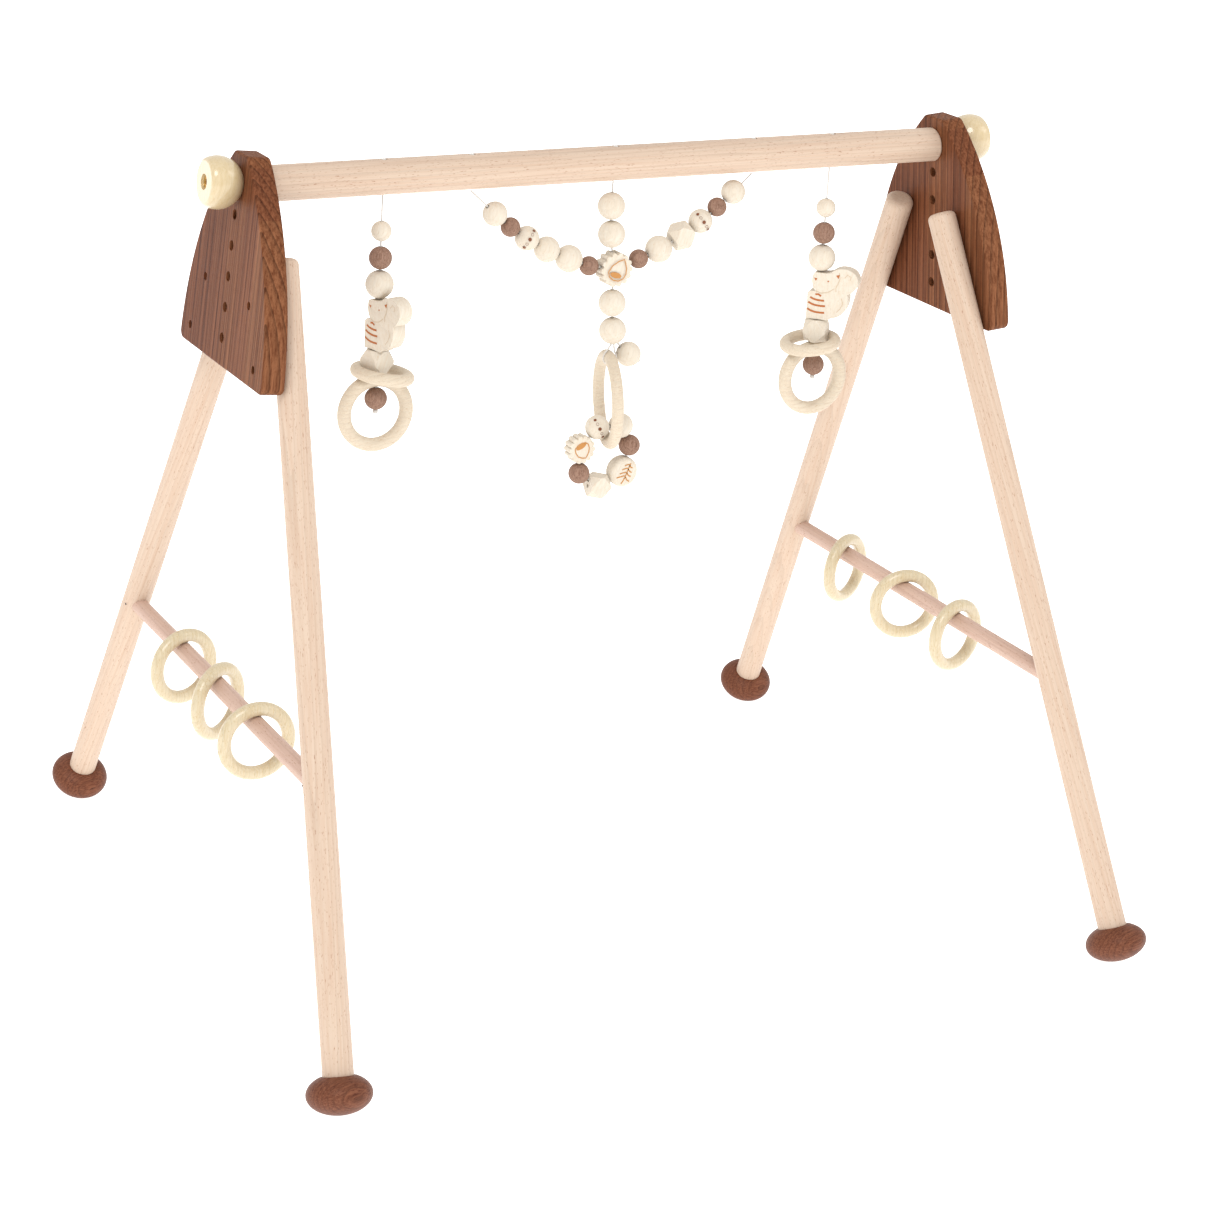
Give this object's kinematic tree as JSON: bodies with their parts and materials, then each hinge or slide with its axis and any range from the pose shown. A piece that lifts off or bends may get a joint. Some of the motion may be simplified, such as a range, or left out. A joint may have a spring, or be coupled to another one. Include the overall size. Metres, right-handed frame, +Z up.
{
  "type": "activity play gym",
  "caption": "Wooden baby gym: two splayed A-frames with ball feet carry a round bar with hanging bead-and-ring toys; loose rings hang on the side rails.",
  "frame": {"origin": "centre of the footprint on the floor", "axes": "+X along the bar from the left side frame to the right one, +Y to the back, +Z up"},
  "size_m": [0.6322, 0.5546, 0.5522],
  "materials": {
    "stained_brown_wood": "satin, brown stain with open vertical grain",
    "beech": "satin, fine flecked grain",
    "pink_beech": "satin, slightly pinker dowel",
    "lacquered_maple": "glossy clear lacquer",
    "lacquered_beech": "glossy clear lacquer",
    "brass": "bright",
    "steel": "zinc plated",
    "white_cord": "waxed cotton",
    "ring_wood": "matte, sanded",
    "pale_beads": "matte, sanded",
    "brown_beads": "matte, open grain",
    "squirrel_wood": "matte with burnt brown marks",
    "face_beads": "matte with orange-brown marks",
    "engraved_discs": "matte with orange-brown engraving"
  },
  "bodies": {
    "frame": {"side_plate_left": "stained_brown_wood", "side_plate_right": "stained_brown_wood", "leg_front_left": "beech", "leg_front_right": "beech", "leg_back_left": "beech", "leg_back_right": "beech", "foot_front_left": "stained_brown_wood", "foot_front_right": "stained_brown_wood", "foot_back_left": "stained_brown_wood", "foot_back_right": "stained_brown_wood", "stretcher_left": "pink_beech", "stretcher_right": "pink_beech", "top_bar": "beech", "bar_inserts": "brass", "frame_screws": "steel", "bar_knots": "white_cord"},
    "knob_left": {"knob_left": "lacquered_beech", "knob_bolt_left": "brass"},
    "knob_right": {"knob_right": "lacquered_beech", "knob_bolt_right": "brass"},
    "ring_left_back": {"ring_left_back": "lacquered_maple"},
    "ring_left_mid": {"ring_left_mid": "lacquered_maple"},
    "ring_left_front": {"ring_left_front": "lacquered_maple"},
    "ring_right_back": {"ring_right_back": "lacquered_maple"},
    "ring_right_mid": {"ring_right_mid": "lacquered_maple"},
    "ring_right_front": {"ring_right_front": "lacquered_maple"},
    "hanger_left": {"hanger_cord_left": "white_cord", "hanger_pale_beads_left": "pale_beads", "hanger_brown_bead_left": "brown_beads"},
    "squirrel_left": {"squirrel_left": "squirrel_wood"},
    "facet_left": {"hanger_facet_bead_left": "pale_beads"},
    "hanger_ring_left": {"hanger_ring_left": "ring_wood", "hanger_end_bead_left": "brown_beads"},
    "loose_ring_left": {"loose_ring_left": "ring_wood"},
    "hanger_right": {"hanger_cord_right": "white_cord", "hanger_pale_beads_right": "pale_beads", "hanger_brown_bead_right": "brown_beads"},
    "squirrel_right": {"squirrel_right": "squirrel_wood"},
    "facet_right": {"hanger_facet_bead_right": "pale_beads"},
    "hanger_ring_right": {"hanger_ring_right": "ring_wood", "hanger_end_bead_right": "brown_beads"},
    "loose_ring_right": {"loose_ring_right": "ring_wood"},
    "garland": {"garland_cord": "white_cord", "centre_cord": "white_cord", "ring_loop": "white_cord", "garland_pale_beads": "pale_beads", "garland_brown_beads": "brown_beads", "garland_face_beads": "face_beads", "garland_facet_bead": "pale_beads", "flower_disc": "engraved_discs", "centre_upper_beads": "pale_beads", "drop_beads": "pale_beads"},
    "centre_ring": {"centre_ring": "ring_wood"},
    "bracelet": {"bracelet_cord": "white_cord", "bracelet_face_bead": "face_beads", "bracelet_pale_bead": "pale_beads", "bracelet_facet_bead": "pale_beads", "bracelet_brown_beads": "brown_beads", "bracelet_twig_disc": "engraved_discs", "bracelet_flower": "engraved_discs"}
  },
  "joints": [
    {"name": "knob_left_turn", "type": "hinge", "parent": "frame", "child": "knob_left", "pos_m": [-0.27742, 0, 0.53239], "axis": [-0.9958, 0, 0.0915], "continuous": true},
    {"name": "knob_right_turn", "type": "hinge", "parent": "frame", "child": "knob_right", "pos_m": [0.27742, 0, 0.53239], "axis": [0.9958, 0, 0.0915], "continuous": true},
    {"name": "ring_left_back_swing", "type": "hinge", "parent": "frame", "child": "ring_left_back", "pos_m": [-0.27933, 0.0724, 0.18371], "axis": [0, 1, 0], "continuous": true},
    {"name": "ring_left_mid_swing", "type": "hinge", "parent": "frame", "child": "ring_left_mid", "pos_m": [-0.27933, 0.0047, 0.18371], "axis": [0, 1, 0], "continuous": true},
    {"name": "ring_left_front_swing", "type": "hinge", "parent": "frame", "child": "ring_left_front", "pos_m": [-0.27933, -0.0675, 0.18371], "axis": [0, 1, 0], "continuous": true},
    {"name": "ring_right_back_swing", "type": "hinge", "parent": "frame", "child": "ring_right_back", "pos_m": [0.27933, 0.0982, 0.18371], "axis": [0, 1, 0], "continuous": true},
    {"name": "ring_right_mid_swing", "type": "hinge", "parent": "frame", "child": "ring_right_mid", "pos_m": [0.27933, 0.0138, 0.18371], "axis": [0, 1, 0], "continuous": true},
    {"name": "ring_right_front_swing", "type": "hinge", "parent": "frame", "child": "ring_right_front", "pos_m": [0.27933, -0.0547, 0.18371], "axis": [0, 1, 0], "continuous": true},
    {"name": "hanger_left_swing", "type": "hinge", "parent": "frame", "child": "hanger_left", "pos_m": [-0.1717, 0, 0.51856], "axis": [1, 0, 0], "range_deg": [-60, 60]},
    {"name": "squirrel_left_spin", "type": "hinge", "parent": "hanger_left", "child": "squirrel_left", "pos_m": [-0.1717, 0, 0.43056], "axis": [0, 0, 1], "continuous": true},
    {"name": "facet_left_spin", "type": "hinge", "parent": "hanger_left", "child": "facet_left", "pos_m": [-0.1717, 0, 0.40516], "axis": [0, 0, 1], "continuous": true},
    {"name": "hanger_ring_left_spin", "type": "hinge", "parent": "hanger_left", "child": "hanger_ring_left", "pos_m": [-0.1717, 0, 0.36916], "axis": [0, 0, 1], "continuous": true},
    {"name": "loose_ring_left_rock", "type": "hinge", "parent": "hanger_ring_left", "child": "loose_ring_left", "pos_m": [-0.1717, 0, 0.36916], "axis": [0, 1, 0], "range_deg": [-18, 0]},
    {"name": "hanger_right_swing", "type": "hinge", "parent": "frame", "child": "hanger_right", "pos_m": [0.1717, 0, 0.51856], "axis": [1, 0, 0], "range_deg": [-60, 60]},
    {"name": "squirrel_right_spin", "type": "hinge", "parent": "hanger_right", "child": "squirrel_right", "pos_m": [0.1717, 0, 0.42566], "axis": [0, 0, 1], "continuous": true},
    {"name": "facet_right_spin", "type": "hinge", "parent": "hanger_right", "child": "facet_right", "pos_m": [0.1717, 0, 0.40026], "axis": [0, 0, 1], "continuous": true},
    {"name": "hanger_ring_right_spin", "type": "hinge", "parent": "hanger_right", "child": "hanger_ring_right", "pos_m": [0.1717, 0, 0.36426], "axis": [0, 0, 1], "continuous": true},
    {"name": "loose_ring_right_rock", "type": "hinge", "parent": "hanger_ring_right", "child": "loose_ring_right", "pos_m": [0.1717, 0, 0.36426], "axis": [0, 1, 0], "range_deg": [0, 18]},
    {"name": "garland_swing", "type": "hinge", "parent": "frame", "child": "garland", "pos_m": [0, 0, 0.51856], "axis": [1, 0, 0], "range_deg": [-20, 20]},
    {"name": "centre_ring_swing", "type": "hinge", "parent": "garland", "child": "centre_ring", "pos_m": [0.0045, 0, 0.39326], "axis": [0.2588, 0.9659, 0], "range_deg": [-20, 20]},
    {"name": "bracelet_swing", "type": "hinge", "parent": "centre_ring", "child": "bracelet", "pos_m": [0.0049, 0, 0.34056], "axis": [0, 1, 0], "range_deg": [-12, 8]}
  ]
}
